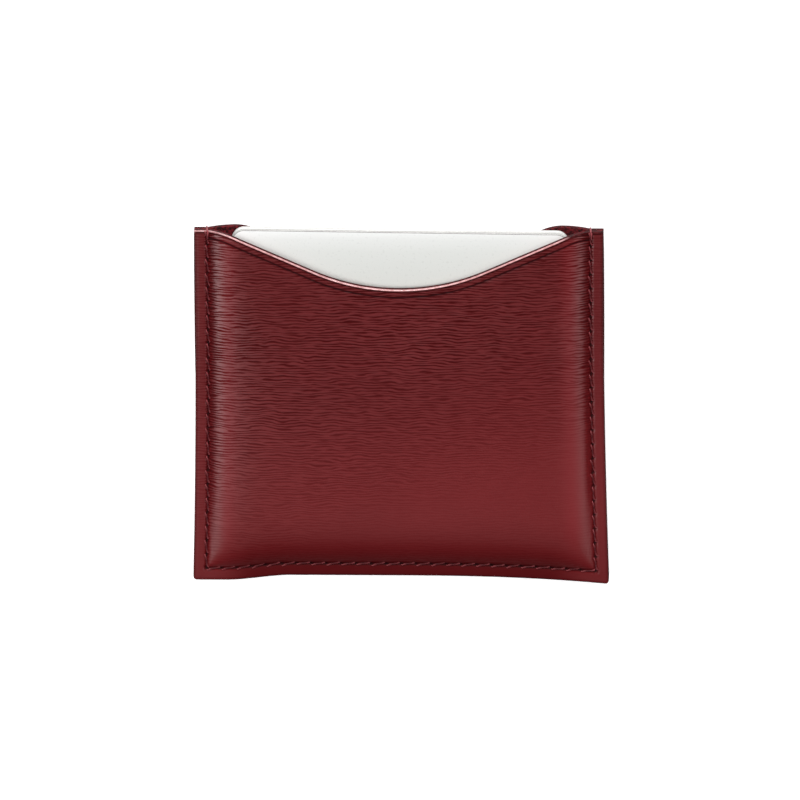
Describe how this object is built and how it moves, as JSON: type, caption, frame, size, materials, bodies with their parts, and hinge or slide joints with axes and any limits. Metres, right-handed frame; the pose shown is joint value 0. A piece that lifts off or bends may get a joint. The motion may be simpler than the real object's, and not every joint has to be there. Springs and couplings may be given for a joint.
{
  "type": "card holder",
  "caption": "Flat leather card holder, lined and stitched along three sides, open at the mouth with a thumb scoop on each face, with square cards that slide out.",
  "frame": {"origin": "under the middle of the whole, on the surface that it lies on", "axes": "+X across the holder, +Y up to the mouth, +Z from the back panel to the front panel"},
  "size_m": [0.1066, 0.0956, 0.0077],
  "materials": {
    "leather": "smooth calf with a fine horizontal boarded grain, satin",
    "lining": "thin split leather, matt",
    "thread": "waxed twisted polyester thread",
    "card": "blank white card, satin"
  },
  "bodies": {
    "pouch": {"front_panel": "leather", "back_panel": "leather", "front_lining": "lining", "back_lining": "lining", "front_thread": "thread", "back_thread": "thread"},
    "card_one": {"card_1": "card"},
    "card_two": {"card_2": "card"},
    "card_three": {"card_3": "card"},
    "card_four": {"card_4": "card"}
  },
  "joints": [
    {"name": "card_1_slide", "type": "slide", "parent": "pouch", "child": "card_one", "axis": [0, 1, 0], "range_m": [0, 0.096]},
    {"name": "card_2_slide", "type": "slide", "parent": "pouch", "child": "card_two", "axis": [0, 1, 0], "range_m": [0, 0.096]},
    {"name": "card_3_slide", "type": "slide", "parent": "pouch", "child": "card_three", "axis": [0, 1, 0], "range_m": [0, 0.096]},
    {"name": "card_4_slide", "type": "slide", "parent": "pouch", "child": "card_four", "axis": [0, 1, 0], "range_m": [0, 0.096]}
  ]
}
